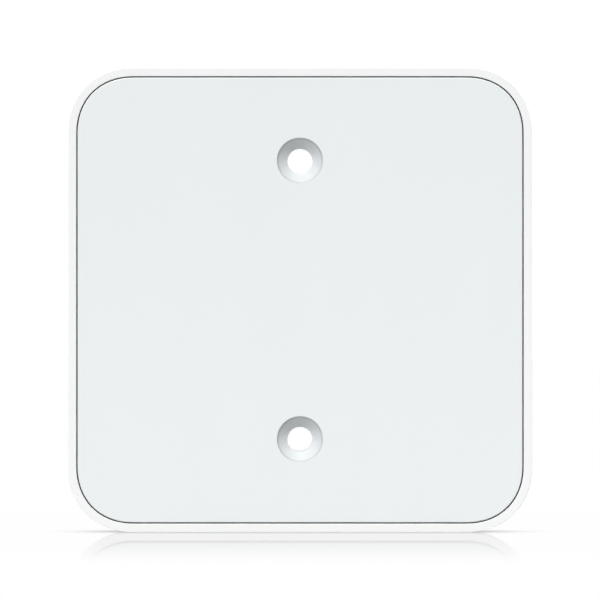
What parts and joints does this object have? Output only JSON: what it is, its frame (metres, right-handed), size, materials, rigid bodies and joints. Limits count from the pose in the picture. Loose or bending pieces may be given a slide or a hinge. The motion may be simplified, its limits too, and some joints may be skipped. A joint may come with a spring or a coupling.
{
  "type": "ceiling access point",
  "caption": "Square white ceiling access point with a flush inset front, two countersunk screw holes through it, vents and a socket pocket behind.",
  "frame": {"origin": "centre of the two-hole screw pattern, on the flat mounting plane that meets the ceiling", "axes": "front face towards -Y and mounting plane facing +Y, so +Y points into the ceiling; +Z runs along the line of the two screw holes, which is up when the part is shown upright; +X to the right seen from the front"},
  "size_m": [0.1, 0.028, 0.1],
  "materials": {
    "housing_plastic": "white polycarbonate with a very fine moulded grain",
    "panel_plastic": "slightly cooler white polycarbonate with a very fine moulded grain",
    "base_plastic": "white ABS with a light spark-eroded grain",
    "gasket_foam": "dark closed-cell foam",
    "zinc_steel": "turned steel with bright zinc plating",
    "screw_steel": "zinc-plated pan-head screw",
    "pad_rubber": "dark grey silicone rubber",
    "label_film": "blank white polyester label",
    "button_plastic": "dark grey moulded plastic",
    "switch_plastic": "black switch body",
    "stem_plastic": "black switch plunger",
    "board_laminate": "green solder mask over copper tracks",
    "jack_metal": "bright tinned sheet metal",
    "jack_plastic": "black glass-filled plastic",
    "gold_contact": "gold-plated spring wire",
    "chip_epoxy": "black moulded epoxy",
    "tinned_lead": "matt tin plating",
    "ferrite": "dark grey pressed ferrite",
    "winding_tape": "yellow polyester tape over the windings",
    "capacitor_metal": "bare aluminium can",
    "capacitor_plastic": "black moulded base",
    "shield_tin": "tin-plated sheet steel",
    "thermal_pad": "grey-blue silicone gap pad",
    "sink_aluminium": "die-cast aluminium",
    "antenna_metal": "stamped tinned steel",
    "ceramic": "white fired ceramic",
    "led_resin": "pale clear resin over a white package",
    "light_acrylic": "clear acrylic",
    "crystal_can": "plated metal can",
    "passive_ceramic": "tan ceramic chips with tinned ends",
    "header_plastic": "black moulded header"
  },
  "bodies": {
    "case": {"housing": "housing_plastic", "front_panel": "panel_plastic", "panel_gasket": "gasket_foam", "base_plate": "base_plastic", "screw_sleeves": "zinc_steel", "housing_screws": "screw_steel", "rubber_pads": "pad_rubber", "rating_label": "label_film", "reset_switch": "switch_plastic", "main_board": "board_laminate", "board_screws": "screw_steel", "jack_shell": "jack_metal", "jack_insert": "jack_plastic", "jack_contacts": "gold_contact", "lan_magnetics": "chip_epoxy", "chip_leads": "tinned_lead", "transformer_core": "ferrite", "transformer_winding": "winding_tape", "capacitor_cans": "capacitor_metal", "capacitor_bases": "capacitor_plastic", "power_inductors": "ferrite", "power_chips": "chip_epoxy", "wifi_processor": "chip_epoxy", "memory_chip": "chip_epoxy", "flash_chip": "chip_epoxy", "radio_chip_5g": "chip_epoxy", "radio_chip_2g": "chip_epoxy", "processor_shield": "shield_tin", "radio_shield_5g": "shield_tin", "radio_shield_2g": "shield_tin", "chip_thermal_pads": "thermal_pad", "shield_thermal_pads": "thermal_pad", "heat_sink": "sink_aluminium", "heat_sink_screws": "screw_steel", "antenna_2g_left": "antenna_metal", "antenna_2g_right": "antenna_metal", "antenna_5g_upper": "antenna_metal", "antenna_5g_lower": "antenna_metal", "bluetooth_antenna": "ceramic", "status_led": "led_resin", "light_pipe": "light_acrylic", "crystals": "crystal_can", "board_passives": "passive_ceramic", "service_header": "header_plastic"},
    "cover": {"cable_exit_cover": "housing_plastic"},
    "button": {"reset_button": "button_plastic", "switch_stem": "stem_plastic"}
  },
  "joints": [
    {"name": "cover_slide", "type": "slide", "parent": "case", "child": "cover", "axis": [0, 1, 0], "range_m": [0, 0.012]},
    {"name": "reset_press", "type": "slide", "parent": "case", "child": "button", "axis": [0, -1, 0], "range_m": [0, 0.0003], "stiffness_N_per_m": 4000}
  ]
}
